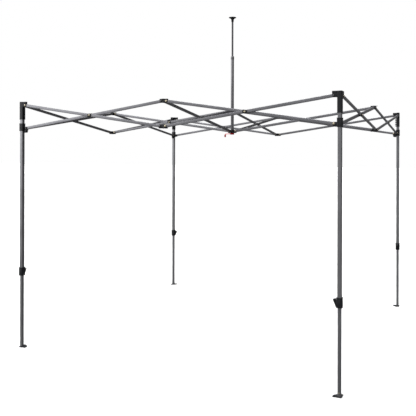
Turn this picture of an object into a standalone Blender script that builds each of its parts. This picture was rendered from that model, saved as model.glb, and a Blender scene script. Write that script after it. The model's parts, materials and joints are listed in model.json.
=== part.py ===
"""Frame of a ten foot pop up canopy: telescopic legs, a scissor truss and a peak pole.

Metres, +Z up. The origin is on the floor under the middle of the frame.
The frame stands open, and a folding frame turns every bar by the same angle.

A corner's own frame has its X along the side that starts there and its Y along
the side that ends there, so the four corners are quarter turns of one another.
An arm's own frame has X along the arm, Y to its left and Z up.
"""
import math

import bmesh
import bpy
from mathutils import Matrix, Vector

# Overall sizes
LEG_SPACING = 2.950           # between the axes of neighbouring legs
LEG_TOP = 2.250               # floor to the top of a corner bracket
UPPER_PIN_DROP = 0.034        # corner bracket's top to the upper pins
BAR_DROP = 0.207              # upper pins to lower pins, frame open
PEAK_TOP = 3.198              # floor to the top of the peak cap
POLE_JOINT = 2.787            # floor to the top of the peak tube

# Truss bars, flattened steel tube
BAR_DEPTH = 0.0250
BAR_WIDTH = 0.0125
BAR_WALL = 0.0009
BAR_END = 0.009               # pin centre to the bar's end
BAR_GAP = 0.003               # between the two bars that cross

# Pins and rivets
PIN_RADIUS = 0.004
PIN_CLEARANCE = 0.0006        # round a pin, in the bar that turns on it
HEAD_RADIUS = 0.0068
RIVET_HEAD = 0.0022
ROUND_SIDES = 8
HOLE_SIDES = 8
EMBED = 0.0012                # how deep one joined shape runs into the next
TOUCH_GAP = 0.0003            # between faces that rest on each other

# Moulded hubs
EAR = 0.0035                  # wall of a fork that holds a bar
EAR_END = 0.008               # pin centre to the fork's end, at the pin's height
EAR_LIP = 0.003               # how far the flange side stands out past that
EAR_REACH = 0.013             # pin centre to the fork's open edge
FLANGE = 0.003                # plate that closes the fork
SIDE_CLEARANCE = 0.0005       # beside a bar in its fork
SWING_CLEARANCE = 0.0006      # round the end of a bar that turns in its fork
MID_CORE = 0.010              # half width of a mid side hub's solid middle
RING_WALL = 0.005             # wall of a centre hub's ring
RING_CLEARANCE = 0.0005       # round the peak tube
RING_LIP = 0.002              # how far the ring runs past the forks' open edges

# Peak pole
PEAK_TUBE_RADIUS = 0.016
PEAK_TUBE_WALL = 0.0012
PEAK_TUBE_BELOW = 0.028       # lower pins to the tube's foot
COLLAR_PROUD = 0.0012
COLLAR_HEIGHT = 0.030
PEAK_ROD_GAP = 0.0055         # between the tube's bore and the rod
PEAK_ROD_WALL = 0.0012
PEAK_ROD_OVERLAP = 0.150      # rod inside the tube
CAP_RADIUS = 0.039
CAP_RIM = 0.009
CAP_HEIGHT = 0.050
PEAK_SIDES = 16

# Legs, square steel tube
OUTER_TUBE = 0.030
OUTER_WALL = 0.0012
INNER_GAP = 0.0013            # between the two tubes, on each side
INNER_WALL = 0.0012
LEG_OVERLAP = 0.250           # inner tube above the lock
LOCK_BOTTOM = 0.657
LOCK_HEIGHT = 0.074
LOCK_WALL = 0.006             # lock housing outside the outer tube
FOOT_THICKNESS = 0.006
FOOT_HEEL = 0.020             # foot plate behind the leg's axis, along both sides
FOOT_TOE = 0.050              # foot plate in front of it
FOOT_CUT = 0.012              # how far aside its inner corner is kept
STAKE_RADIUS = 0.0045
STAKE_PLACE = 0.034           # in front of the leg's axis
STAKE_ASIDE = 0.003           # towards the plate's outer edge
ADJUST_RADIUS = 0.004
ADJUST_PITCH = 0.050
ADJUST_COUNT = 5

# Leg lock lever, on the corner's Y face
LEVER_PIN_UP = 0.032          # above the housing's bottom
LEVER_PIN_OUT = 0.0047        # outside the housing's face
LEVER_PIN_RADIUS = 0.002
LEVER_PIN_CLEARANCE = 0.0004
LEVER_WIDTH = 0.022
LEVER_PLATE = 0.0042          # thickness below the pin
LEVER_DOWN = 0.030
LEVER_KNEE = (0.0125, 0.0)    # where the thumb slope starts, out and up from the pin
LEVER_SLOPE = math.radians(67)
LEVER_SLOPE_LENGTH = 0.0278
LEVER_TOP = (0.0040, 0.034)   # its upper edge, out and up from the pin
LUG = 0.003
LUG_RADIUS = 0.0055
NIB_WIDTH = 0.007
NIB_HEIGHT = 0.007
NIB_DOWN = 0.020
NIB_SWEEP = 0.0035            # extra height of the nib's slot for its swing

# Corner bracket
SLEEVE_WALL = 0.003
SLEEVE_LENGTH = 0.162
SLEEVE_CLEARANCE = 0.0003
CAP_PLATE = 0.004
RIB_PROUD = 0.0115
RIB_WIDTH = 0.011
RIB_WINDOWS = 4
RIB_PITCH = 0.026
RIB_WINDOW = 0.017
RIB_SKIN = 0.0025

# Slider
SLIDER_WALL = 0.0044
SLIDER_CLEARANCE = 0.0006
SLIDER_ABOVE = 0.043
SLIDER_BELOW = 0.026
LOBE_OUT = 0.049              # leg axis to the lobe's end
LOBE_BOTTOM = 0.042           # below the lower pins
LOBE_ROUND = 0.012
LOBE_WIDTH = 0.024
LOBE_ROUND_STEPS = 4
BUTTON_RADIUS = 0.0068
BUTTON_CLEARANCE = 0.0004
BUTTON_PROUD = 0.005
BUTTON_TRAVEL = 0.004
BUTTON_DROP = 0.0285          # below the lower pins

# Sizes that follow
BAR_OFFSET = (BAR_WIDTH + BAR_GAP) / 2
BAR_SWING = math.hypot(BAR_DEPTH / 2, BAR_END) + SWING_CLEARANCE
EAR_INNER = BAR_WIDTH / 2 + SIDE_CLEARANCE
EAR_OUTER = EAR_INNER + EAR
HUB_REACH = BAR_OFFSET + EAR_OUTER
FLANGE_TOP = BAR_SWING + FLANGE
RING_RADIUS = PEAK_TUBE_RADIUS + RING_CLEARANCE + RING_WALL
RING_HEIGHT = FLANGE_TOP + EAR_REACH + RING_LIP
COLLAR_RADIUS = PEAK_TUBE_RADIUS + COLLAR_PROUD
PEAK_ROD_RADIUS = PEAK_TUBE_RADIUS - PEAK_TUBE_WALL - PEAK_ROD_GAP
MID_PIN = MID_CORE + BAR_SWING
MID_INNER_PIN = HUB_REACH + BAR_SWING
CENTRE_PIN = RING_RADIUS + BAR_SWING
CORNER_PIN = MID_INNER_PIN + CENTRE_PIN - MID_PIN
HALF = LEG_SPACING / 2
SPAN = HALF - CORNER_PIN - MID_PIN
BAR_LENGTH = math.hypot(SPAN, BAR_DROP)
BAR_TILT = math.atan2(BAR_DROP, SPAN)
UPPER = LEG_TOP - UPPER_PIN_DROP
LOWER = UPPER - BAR_DROP
CROSSING = (UPPER + LOWER) / 2
OUTER_HALF = OUTER_TUBE / 2
OUTER_BORE = OUTER_HALF - OUTER_WALL
INNER_HALF = OUTER_BORE - INNER_GAP
LOCK_HALF = OUTER_HALF + LOCK_WALL
LOCK_TOP = LOCK_BOTTOM + LOCK_HEIGHT
LEVER_PIN_HEIGHT = LOCK_BOTTOM + LEVER_PIN_UP
LEVER_PIN_PLACE = LOCK_HALF + LEVER_PIN_OUT
NIB_TIP = INNER_HALF + 0.0006
SLEEVE_BORE = OUTER_HALF + SLEEVE_CLEARANCE
SLEEVE_HALF = SLEEVE_BORE + SLEEVE_WALL
SLEEVE_BOTTOM = LEG_TOP - SLEEVE_LENGTH
SLIDER_BORE = OUTER_HALF + SLIDER_CLEARANCE
SLIDER_HALF = SLIDER_BORE + SLIDER_WALL

SIDES = ("front", "right", "back", "left")
CORNERS = ("front_left", "front_right", "back_right", "back_left")

FINISHES = {
    "grey_bar_steel": ((0.235, 0.235, 0.250), 0.42, 0.75),
    "grey_leg_steel": ((0.215, 0.217, 0.225), 0.45, 0.70),
    "grey_pole_steel": ((0.250, 0.250, 0.262), 0.40, 0.75),
    "black_hub_plastic": ((0.022, 0.023, 0.028), 0.50, 0.0),
    "black_lever_plastic": ((0.018, 0.018, 0.020), 0.45, 0.0),
    "black_button_plastic": ((0.030, 0.030, 0.034), 0.35, 0.0),
}


def finish(name):
    """Material of one finish, made the first time it is asked for."""
    known = bpy.data.materials.get(name)
    if known:
        return known
    colour, roughness, metallic = FINISHES[name]
    material = bpy.data.materials.new(name)
    material.use_nodes = True
    shader = material.node_tree.nodes["Principled BSDF"]
    shader.inputs["Base Color"].default_value = (*colour, 1.0)
    shader.inputs["Roughness"].default_value = roughness
    shader.inputs["Metallic"].default_value = metallic
    return material


def as_object(name, bm):
    """Object of a finished bmesh, linked to the scene."""
    bmesh.ops.recalc_face_normals(bm, faces=bm.faces)
    mesh = bpy.data.meshes.new(name)
    bm.to_mesh(mesh)
    bm.free()
    made = bpy.data.objects.new(name, mesh)
    bpy.context.scene.collection.objects.link(made)
    return made


def box(x, y, z, azimuth=0.0):
    """Block between the pairs of limits x, y and z, turned about Z."""
    bm = bmesh.new()
    size = Vector((x[1] - x[0], y[1] - y[0], z[1] - z[0]))
    centre = Vector((x[1] + x[0], y[1] + y[0], z[1] + z[0])) / 2
    turn = Matrix.Rotation(azimuth, 4, "Z")
    place = turn @ Matrix.Translation(centre) @ Matrix.Diagonal((*size, 1.0))
    bmesh.ops.create_cube(bm, size=1.0, matrix=place)
    return as_object("block", bm)


def carried(corners, way, azimuth=0.0):
    """Flat outline carried along a vector, then turned about Z."""
    bm = bmesh.new()
    face = bm.faces.new([bm.verts.new(corner) for corner in corners])
    grown = bmesh.ops.extrude_face_region(bm, geom=[face])
    moved = [part for part in grown["geom"] if isinstance(part, bmesh.types.BMVert)]
    bmesh.ops.translate(bm, verts=moved, vec=way)
    bmesh.ops.rotate(bm, verts=bm.verts, cent=(0, 0, 0), matrix=Matrix.Rotation(azimuth, 3, "Z"))
    return as_object("prism", bm)


def prism(outline, y, azimuth=0.0):
    """Outline of (x, z) points carried from y[0] to y[1], turned about Z."""
    return carried([(x, y[0], z) for x, z in outline], (0.0, y[1] - y[0], 0.0), azimuth)


def slab(outline, z):
    """Outline of (x, y) points carried from z[0] to z[1]."""
    return carried([(x, y, z[0]) for x, y in outline], (0.0, 0.0, z[1] - z[0]))


def turned(profile, sides, place=None, flats=False, closed=False):
    """Spin (radius, height) points about Z, then put the solid in its place.

    With flats the radius is measured to the middle of a flat, and a flat faces X.
    """
    bm = bmesh.new()
    reach = 1.0 / math.cos(math.pi / sides) if flats else 1.0
    first = Matrix.Rotation(math.pi / sides, 4, "Z")
    ring = [bm.verts.new(first @ Vector((radius * reach, 0.0, z))) for radius, z in profile]
    following = ring[1:] + (ring[:1] if closed else [])
    edges = [bm.edges.new(pair) for pair in zip(ring, following)]
    bmesh.ops.spin(
        bm, geom=ring + edges, cent=(0, 0, 0), axis=(0, 0, 1),
        angle=math.tau, steps=sides, use_merge=True,
    )
    bmesh.ops.remove_doubles(bm, verts=bm.verts, dist=0.000001)
    if place is not None:
        bmesh.ops.transform(bm, verts=bm.verts, matrix=place)
    return as_object("turned", bm)


def across(centre, azimuth=0.0):
    """Placement that lays a turned solid's axis along the Y of an arm."""
    turn = Matrix.Rotation(azimuth, 4, "Z")
    return turn @ Matrix.Translation(centre) @ Matrix.Rotation(-math.pi / 2, 4, "X")


def drill(radius, centre, half_length, azimuth=0.0):
    """Cutter for a round hole along the Y of an arm, never smaller than its radius."""
    profile = ((0, -half_length), (radius, -half_length), (radius, half_length), (0, half_length))
    return turned(profile, HOLE_SIDES, across(centre, azimuth), flats=True)


def pin_between(centre, low, high, azimuth=0.0):
    """Pin along the arm's Y, its ends sunk in the walls whose faces are at low and high."""
    ends = (low + EMBED, high - EMBED)
    profile = ((0, ends[0]), (PIN_RADIUS, ends[0]), (PIN_RADIUS, ends[1]), (0, ends[1]))
    return turned(profile, ROUND_SIDES, across(centre, azimuth))


def combined(base, joined=(), cut=(), added=()):
    """Mesh of the base with solids joined, then cut, then added through the cuts."""
    steps = [("UNION", tool) for tool in joined]
    steps += [("DIFFERENCE", tool) for tool in cut]
    steps += [("UNION", tool) for tool in added]
    for operation, tool in steps:
        change = base.modifiers.new(operation, "BOOLEAN")
        change.operation = operation
        change.solver = "EXACT"
        change.object = tool
    bpy.context.view_layer.update()
    depsgraph = bpy.context.evaluated_depsgraph_get()
    mesh = bpy.data.meshes.new_from_object(base.evaluated_get(depsgraph))
    for used in [base] + [tool for _, tool in steps]:
        bpy.data.objects.remove(used)
    return mesh


def centred(mesh, pivot):
    """Move a mesh so that the pivot becomes its origin, and shade it by its angles."""
    mesh.transform(Matrix.Translation(-Vector(pivot)))
    mesh.shade_smooth()
    mesh.set_sharp_from_angle(angle=math.radians(35))
    return mesh


def place(name, mesh, location, rotation, material):
    """Named sub-part that uses the mesh at a location and rotation."""
    part = bpy.data.objects.new(name, mesh)
    bpy.context.scene.collection.objects.link(part)
    part.location = location
    part.rotation_euler = rotation
    if not mesh.materials:
        mesh.materials.append(finish(material))
    return part


# Truss bars


def bar_tube(start):
    """Rectangular tube of the bar's section from start, ready for its holes."""
    bm = bmesh.new()
    loops = []
    for inset in (0.0, BAR_WALL):
        y = BAR_WIDTH / 2 - inset
        z = BAR_DEPTH / 2 - inset
        ring = [bm.verts.new((start, *corner)) for corner in ((y, z), (-y, z), (-y, -z), (y, -z))]
        loops += [bm.edges.new(pair) for pair in zip(ring, ring[1:] + ring[:1])]
    bmesh.ops.bridge_loops(bm, edges=loops)
    grown = bmesh.ops.extrude_face_region(bm, geom=bm.faces[:])
    moved = [part for part in grown["geom"] if isinstance(part, bmesh.types.BMVert)]
    bmesh.ops.translate(bm, verts=moved, vec=(BAR_LENGTH + 2 * BAR_END, 0.0, 0.0))
    return as_object("tube", bm)


def plain_bar():
    """Bar with three pin holes, its origin on the hole at one end."""
    holes = [
        drill(PIN_RADIUS + PIN_CLEARANCE, (along, 0, 0), BAR_WIDTH)
        for along in (0.0, BAR_LENGTH / 2, BAR_LENGTH)
    ]
    return centred(combined(bar_tube(-BAR_END), cut=holes), (0, 0, 0))


def riveted_bar():
    """Bar with two end holes and the crossing rivet, its origin on the rivet."""
    reach = BAR_LENGTH / 2
    holes = [
        drill(PIN_RADIUS + PIN_CLEARANCE, (along, 0, 0), BAR_WIDTH) for along in (-reach, reach)
    ]
    root = -BAR_WIDTH / 2 + BAR_WALL / 2
    other_face = -(2 * BAR_OFFSET + BAR_WIDTH / 2 + TOUCH_GAP)
    profile = (
        (0, other_face - RIVET_HEAD),
        (HEAD_RADIUS, other_face - RIVET_HEAD),
        (HEAD_RADIUS, other_face),
        (PIN_RADIUS, other_face),
        (PIN_RADIUS, root),
        (0, root),
    )
    rivet = turned(profile, ROUND_SIDES, across((0, 0, 0)))
    tube = bar_tube(-reach - BAR_END)
    return centred(combined(tube, cut=holes, added=[rivet]), (0, 0, 0))


# Forks that hold the bars


def fork(root, pin, lateral, azimuth, up):
    """Solid arm, the slot to cut in it and its pin, for one bar at height 0.

    up is 1 where the flange closes the fork above the bar, -1 where it is below.
    """
    end = pin + EAR_END
    outline = (
        (root, up * (FLANGE_TOP - TOUCH_GAP)),
        (end + EAR_LIP, up * (FLANGE_TOP - TOUCH_GAP)),
        (end + EAR_LIP, up * BAR_SWING),
        (end, 0.0),
        (end - EAR_LIP, -up * EAR_REACH),
        (root, -up * EAR_REACH),
    )
    arm = prism(outline, (lateral - EAR_OUTER, lateral + EAR_OUTER), azimuth)
    slot_z = sorted((up * BAR_SWING, -up * 2 * EAR_REACH))
    slot = box(
        (pin - BAR_SWING, end + 2 * EAR_LIP),
        (lateral - EAR_INNER, lateral + EAR_INNER),
        slot_z, azimuth,
    )
    held_pin = pin_between((pin, 0, 0), lateral - EAR_OUTER, lateral + EAR_OUTER, azimuth)
    return arm, slot, held_pin


def lift(solids, height):
    """Raise or lower solids that are still to be joined or cut."""
    for part in solids:
        part.data.transform(Matrix.Translation((0, 0, height)))


def forked(base, forks, joined=(), cut=()):
    """Base with its forks: the arms joined, the slots cut, the pins added."""
    arms = [arm for arm, _, _ in forks]
    slots = [slot for _, slot, _ in forks]
    pins = [held_pin for _, _, held_pin in forks]
    return combined(base, [*arms, *joined], [*slots, *cut], pins)


def mid_hub(upper):
    """Hub in the middle of a side: X along the side, Y inwards, origin on the inner pin."""
    up = 1 if upper else -1
    shift = up * BAR_OFFSET
    core = box(
        (-MID_CORE, MID_CORE),
        (shift - EAR_OUTER + TOUCH_GAP, HUB_REACH + TOUCH_GAP),
        sorted((up * FLANGE_TOP, -up * (EAR_REACH + TOUCH_GAP))),
    )
    forks = [
        fork(-EMBED, MID_PIN, shift, 0.0, up),
        fork(-EMBED, MID_PIN, -shift, math.pi, up),
        fork(EMBED, MID_INNER_PIN, shift, math.pi / 2, up),
    ]
    lift(forks[1][:1], -up * TOUCH_GAP)
    lift(forks[2][:1], -up * 2 * TOUCH_GAP)
    return centred(forked(core, forks), (0, MID_INNER_PIN, 0))


def centre_hub(upper):
    """Hub in the middle of the frame, with a ring round the peak tube."""
    up = 1 if upper else -1
    lateral = up * BAR_OFFSET
    bore = PEAK_TUBE_RADIUS + RING_CLEARANCE
    low, high = sorted((up * FLANGE_TOP, up * (FLANGE_TOP - RING_HEIGHT)))
    ring = turned(((0, low), (RING_RADIUS, low), (RING_RADIUS, high), (0, high)), PEAK_SIDES)
    hole = turned(
        ((0, low - RING_HEIGHT), (bore, low - RING_HEIGHT), (bore, high + RING_HEIGHT),
         (0, high + RING_HEIGHT)),
        PEAK_SIDES, flats=True,
    )
    quarter = math.pi / 2
    forks = [fork(0.0, CENTRE_PIN, lateral, index * quarter, up) for index in range(4)]
    for index, parts in enumerate(forks):
        lift(parts[:1], -up * index * TOUCH_GAP)
    pivot = (0, 0, 0) if upper else (CENTRE_PIN, 0, 0)
    return centred(forked(ring, forks, cut=[hole]), pivot)


# Corner pieces, in the corner's own frame with the leg's axis at the origin


def corner_bracket():
    """Cap and sleeve on the leg's top, with two forks and a windowed rib."""
    sleeve = box(
        (-SLEEVE_HALF, SLEEVE_HALF), (-SLEEVE_HALF, SLEEVE_HALF), (SLEEVE_BOTTOM, LEG_TOP)
    )
    bore = box(
        (-SLEEVE_BORE, SLEEVE_BORE), (-SLEEVE_BORE, SLEEVE_BORE),
        (SLEEVE_BOTTOM - CAP_PLATE, LEG_TOP - CAP_PLATE),
    )
    forks = []
    fillers = []
    for azimuth, lateral in ((0.0, -BAR_OFFSET), (math.pi / 2, BAR_OFFSET)):
        parts = fork(SLEEVE_HALF - EMBED, CORNER_PIN, lateral, azimuth, 1)
        lift(parts, UPPER)
        forks.append(parts)
        fillers.append(box(
            (SLEEVE_HALF - EMBED, CORNER_PIN + EAR_END + EAR_LIP - EMBED / 2),
            (lateral - EAR_OUTER + EMBED / 4, lateral + EAR_OUTER - EMBED / 4),
            (UPPER + FLANGE_TOP - EMBED, LEG_TOP - EMBED / 4), azimuth,
        ))
    rib_top = UPPER - BAR_SWING - FLANGE
    rib = box(
        (SLEEVE_HALF - EMBED, SLEEVE_HALF + RIB_PROUD), (-RIB_WIDTH / 2, RIB_WIDTH / 2),
        (SLEEVE_BOTTOM + EMBED, rib_top),
    )
    windows = []
    for index in range(RIB_WINDOWS):
        low = SLEEVE_BOTTOM + EMBED + RIB_SKIN + index * RIB_PITCH
        windows.append(box(
            (SLEEVE_HALF + RIB_SKIN / 4, SLEEVE_HALF + RIB_PROUD - RIB_SKIN),
            (-RIB_WIDTH, RIB_WIDTH), (low, low + RIB_WINDOW),
        ))
    mesh = forked(sleeve, forks, [*fillers, rib], [bore, *windows])
    return centred(mesh, (CORNER_PIN, 0, UPPER))


def outer_leg():
    """Outer tube with the lock housing round its foot."""
    tube_top = LEG_TOP - CAP_PLATE - TOUCH_GAP
    profile = (
        (OUTER_BORE, LOCK_BOTTOM),
        (LOCK_HALF, LOCK_BOTTOM),
        (LOCK_HALF, LOCK_TOP),
        (OUTER_HALF, LOCK_TOP),
        (OUTER_HALF, tube_top),
        (OUTER_BORE, tube_top),
    )
    tube = turned(profile, 4, flats=True, closed=True)
    lugs = []
    for side in (-1, 1):
        inside = LEVER_WIDTH / 2 + SIDE_CLEARANCE
        lugs.append(box(
            (LOCK_HALF - EMBED, LEVER_PIN_PLACE + LUG_RADIUS),
            sorted((side * inside, side * (inside + LUG))),
            (LEVER_PIN_HEIGHT - LUG_RADIUS, LEVER_PIN_HEIGHT + LUG_RADIUS), math.pi / 2,
        ))
    pin_hole = drill(
        LEVER_PIN_RADIUS + LEVER_PIN_CLEARANCE, (LEVER_PIN_PLACE, 0, LEVER_PIN_HEIGHT),
        LEVER_WIDTH, math.pi / 2,
    )
    nib_height = LEVER_PIN_HEIGHT - NIB_DOWN
    half_slot = NIB_WIDTH / 2 + 2 * SIDE_CLEARANCE
    slot = box(
        (INNER_HALF, LOCK_HALF + EMBED), (-half_slot, half_slot),
        (nib_height - NIB_HEIGHT / 2 - NIB_SWEEP, nib_height + NIB_HEIGHT / 2 + NIB_SWEEP / 2),
        math.pi / 2,
    )
    mesh = combined(tube, lugs, [pin_hole, slot])
    return centred(mesh, (CORNER_PIN, 0, UPPER))


def lock_lever():
    """Thumb lever with its nib and pin; its origin is on the pin."""
    back = -LEVER_PIN_OUT + 2 * TOUCH_GAP
    front = back + LEVER_PLATE
    knee = Vector(LEVER_KNEE)
    lip = knee + LEVER_SLOPE_LENGTH * Vector((math.cos(LEVER_SLOPE), math.sin(LEVER_SLOPE)))
    outline = (
        (back, -LEVER_DOWN),
        (front, -LEVER_DOWN),
        (knee.x - LEVER_PLATE, knee.y - 2 * LEVER_PLATE),
        tuple(knee),
        tuple(lip),
        (lip.x - EMBED, lip.y + 2 * EMBED),
        LEVER_TOP,
        (back, EMBED),
    )
    plate = prism(outline, (-LEVER_WIDTH / 2, LEVER_WIDTH / 2), math.pi / 2)
    nib = box(
        (NIB_TIP - LEVER_PIN_PLACE, back + EMBED), (-NIB_WIDTH / 2, NIB_WIDTH / 2),
        (-NIB_DOWN - NIB_HEIGHT / 2, -NIB_DOWN + NIB_HEIGHT / 2), math.pi / 2,
    )
    reach = LEVER_WIDTH / 2 + SIDE_CLEARANCE + LUG
    profile = (
        (0, -reach), (LEVER_PIN_RADIUS, -reach), (LEVER_PIN_RADIUS, reach), (0, reach)
    )
    pin = turned(profile, ROUND_SIDES, across((0, 0, 0), math.pi / 2))
    return centred(combined(plate, [nib, pin]), (0, 0, 0))


def inner_leg():
    """Inner tube welded to its foot plate, with stake and adjusting holes."""
    top = LOCK_TOP + LEG_OVERLAP
    bore = INNER_HALF - INNER_WALL
    low = FOOT_THICKNESS - EMBED
    profile = ((bore, low), (INNER_HALF, low), (INNER_HALF, top), (bore, top))
    tube = turned(profile, 4, flats=True, closed=True)
    foot = slab((
        (-FOOT_HEEL, -FOOT_HEEL), (FOOT_TOE, -FOOT_HEEL), (FOOT_TOE, FOOT_CUT),
        (FOOT_CUT, FOOT_TOE), (-FOOT_HEEL, FOOT_TOE),
    ), (0.0, FOOT_THICKNESS))
    stakes = [
        turned(
            ((0, -FOOT_THICKNESS), (STAKE_RADIUS, -FOOT_THICKNESS),
             (STAKE_RADIUS, 2 * FOOT_THICKNESS), (0, 2 * FOOT_THICKNESS)),
            HOLE_SIDES, Matrix.Translation((*spot, 0)), flats=True,
        )
        for spot in ((STAKE_PLACE, -STAKE_ASIDE), (-STAKE_ASIDE, STAKE_PLACE))
    ]
    holes = []
    for index in range(ADJUST_COUNT):
        height = LEVER_PIN_HEIGHT - NIB_DOWN - index * ADJUST_PITCH
        holes.append(drill(ADJUST_RADIUS, (0, INNER_HALF, height), 3 * INNER_WALL))
    return centred(combined(tube, [foot], [*stakes, *holes]), (0, 0, 0))


def slider():
    """Ring that runs on the leg, with two forks and the button's lobe."""
    low = LOWER - SLIDER_BELOW
    ring = box(
        (-SLIDER_HALF, SLIDER_HALF), (-SLIDER_HALF, SLIDER_HALF), (low, LOWER + SLIDER_ABOVE)
    )
    bore = box(
        (-SLIDER_BORE, SLIDER_BORE), (-SLIDER_BORE, SLIDER_BORE),
        (low - SLIDER_BELOW, LOWER + 2 * SLIDER_ABOVE),
    )
    forks = []
    for azimuth, lateral in ((0.0, BAR_OFFSET), (math.pi / 2, -BAR_OFFSET)):
        parts = fork(SLIDER_HALF - EMBED, CORNER_PIN, lateral, azimuth, -1)
        lift(parts, LOWER)
        forks.append(parts)
    bottom = LOWER - LOBE_BOTTOM
    round_centre = (LOBE_OUT - LOBE_ROUND, bottom + LOBE_ROUND)
    outline = [(SLIDER_HALF - EMBED, bottom)]
    for step in range(LOBE_ROUND_STEPS + 1):
        angle = -math.pi / 2 + step * math.pi / 2 / LOBE_ROUND_STEPS
        outline.append((
            round_centre[0] + LOBE_ROUND * math.cos(angle),
            round_centre[1] + LOBE_ROUND * math.sin(angle),
        ))
    lobe_top = LOWER - BAR_SWING - EMBED
    outline += [(LOBE_OUT, lobe_top), (SLIDER_HALF - EMBED, lobe_top)]
    lobe = prism(outline, (BAR_OFFSET - LOBE_WIDTH / 2, BAR_OFFSET + LOBE_WIDTH / 2))
    web = box(
        (SLIDER_HALF - EMBED, SLIDER_HALF + 2 * EMBED),
        (BAR_OFFSET - LOBE_WIDTH / 2 + EMBED, SLIDER_HALF - EMBED),
        (bottom + EMBED, LOWER - BAR_SWING - 2 * EMBED),
    )
    button_bore = turned(
        ((0, SLIDER_HALF + EMBED), (BUTTON_RADIUS + BUTTON_CLEARANCE, SLIDER_HALF + EMBED),
         (BUTTON_RADIUS + BUTTON_CLEARANCE, 2 * LOBE_OUT), (0, 2 * LOBE_OUT)),
        ROUND_SIDES, button_axis(), flats=True,
    )
    mesh = forked(ring, forks, [lobe, web], [bore, button_bore])
    return centred(mesh, (CORNER_PIN, 0, LOWER))


def button_axis():
    """Placement that lays a turned solid's axis along the button's way out."""
    centre = (0, BAR_OFFSET, LOWER - BUTTON_DROP)
    return Matrix.Translation(centre) @ Matrix.Rotation(math.pi / 2, 4, "Y")


def slider_button():
    """Push button in the slider's lobe; its origin is on its own axis."""
    back = SLIDER_HALF + EMBED + BUTTON_TRAVEL + 2 * BUTTON_CLEARANCE
    front = LOBE_OUT + BUTTON_PROUD
    profile = (
        (0, back), (BUTTON_RADIUS, back), (BUTTON_RADIUS, front - EMBED),
        (BUTTON_RADIUS - EMBED, front), (0, front),
    )
    made = turned(profile, ROUND_SIDES, button_axis())
    return centred(combined(made), (LOBE_OUT, BAR_OFFSET, LOWER - BUTTON_DROP))


# Peak pole


def peak_tube():
    """Lower tube of the peak pole with a collar at its top."""
    low = LOWER - PEAK_TUBE_BELOW
    bore = PEAK_TUBE_RADIUS - PEAK_TUBE_WALL
    collar = POLE_JOINT - COLLAR_HEIGHT
    profile = (
        (bore, low), (PEAK_TUBE_RADIUS, low), (PEAK_TUBE_RADIUS, collar),
        (COLLAR_RADIUS, collar), (COLLAR_RADIUS, POLE_JOINT), (bore, POLE_JOINT),
    )
    return centred(combined(turned(profile, PEAK_SIDES, closed=True)), (0, 0, UPPER))


def peak_rod():
    """Upper rod of the peak pole with its mushroom cap."""
    low = POLE_JOINT - PEAK_ROD_OVERLAP
    neck = PEAK_TOP - CAP_HEIGHT
    bore = PEAK_ROD_RADIUS - PEAK_ROD_WALL
    profile = (
        (0, PEAK_TOP),
        (CAP_RADIUS - CAP_RIM / 2, PEAK_TOP),
        (CAP_RADIUS, PEAK_TOP - CAP_RIM / 3),
        (CAP_RADIUS, PEAK_TOP - CAP_RIM),
        (PEAK_ROD_RADIUS * 2, neck + CAP_HEIGHT / 3),
        (PEAK_ROD_RADIUS * 1.4, neck),
        (PEAK_ROD_RADIUS, neck),
        (PEAK_ROD_RADIUS, low),
        (bore, low),
        (bore, neck),
        (0, neck),
    )
    return centred(combined(turned(profile, PEAK_SIDES)), (0, 0, POLE_JOINT))


def flat(azimuth, along, aside, height):
    """World point at a distance along an azimuth, then to its left, at a height."""
    forward = Vector((math.cos(azimuth), math.sin(azimuth), 0.0))
    leftward = Vector((-math.sin(azimuth), math.cos(azimuth), 0.0))
    return forward * along + leftward * aside + Vector((0.0, 0.0, height))


def build_truss():
    """Twenty-four bars, the four pairs of side hubs and the two centre hubs."""
    plain = plain_bar()
    riveted = riveted_bar()
    upper_hub = mid_hub(True)
    lower_hub = mid_hub(False)
    quarter = math.pi / 2
    steel = "grey_bar_steel"
    plastic = "black_hub_plastic"
    middle = MID_PIN + SPAN / 2
    for index, side in enumerate(SIDES):
        along = index * quarter
        inward = along + quarter
        outward = along - quarter
        start = CORNERS[index]
        end = CORNERS[(index + 1) % 4]
        outer_line = -HALF - BAR_OFFSET
        inner_line = -HALF + BAR_OFFSET
        place(f"{side}_bar_outer_to_{start}", plain, flat(along, -MID_PIN, outer_line, LOWER),
              (0, -BAR_TILT, along + math.pi), steel)
        place(f"{side}_bar_outer_to_{end}", plain, flat(along, MID_PIN, outer_line, LOWER),
              (0, -BAR_TILT, along), steel)
        place(f"{side}_bar_inner_to_{start}", riveted, flat(along, -middle, inner_line, CROSSING),
              (0, -BAR_TILT, along), steel)
        place(f"{side}_bar_inner_to_{end}", riveted, flat(along, middle, inner_line, CROSSING),
              (0, BAR_TILT, along), steel)
        place(f"{side}_cross_bar_upper", plain, flat(outward, CENTRE_PIN, BAR_OFFSET, UPPER),
              (0, BAR_TILT, outward), steel)
        place(f"{side}_cross_bar_lower", riveted,
              flat(outward, CENTRE_PIN + SPAN / 2, -BAR_OFFSET, CROSSING),
              (0, BAR_TILT, inward), steel)
        inner_pin = -HALF + MID_INNER_PIN
        place(f"{side}_hub_upper", upper_hub, flat(along, 0.0, inner_pin, UPPER),
              (0, 0, along), plastic)
        place(f"{side}_hub_lower", lower_hub, flat(along, 0.0, inner_pin, LOWER),
              (0, 0, along), plastic)
    place("centre_hub_upper", centre_hub(True), (0, 0, UPPER), (0, 0, 0), plastic)
    place("centre_hub_lower", centre_hub(False), (CENTRE_PIN, 0, LOWER), (0, 0, 0), plastic)


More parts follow.
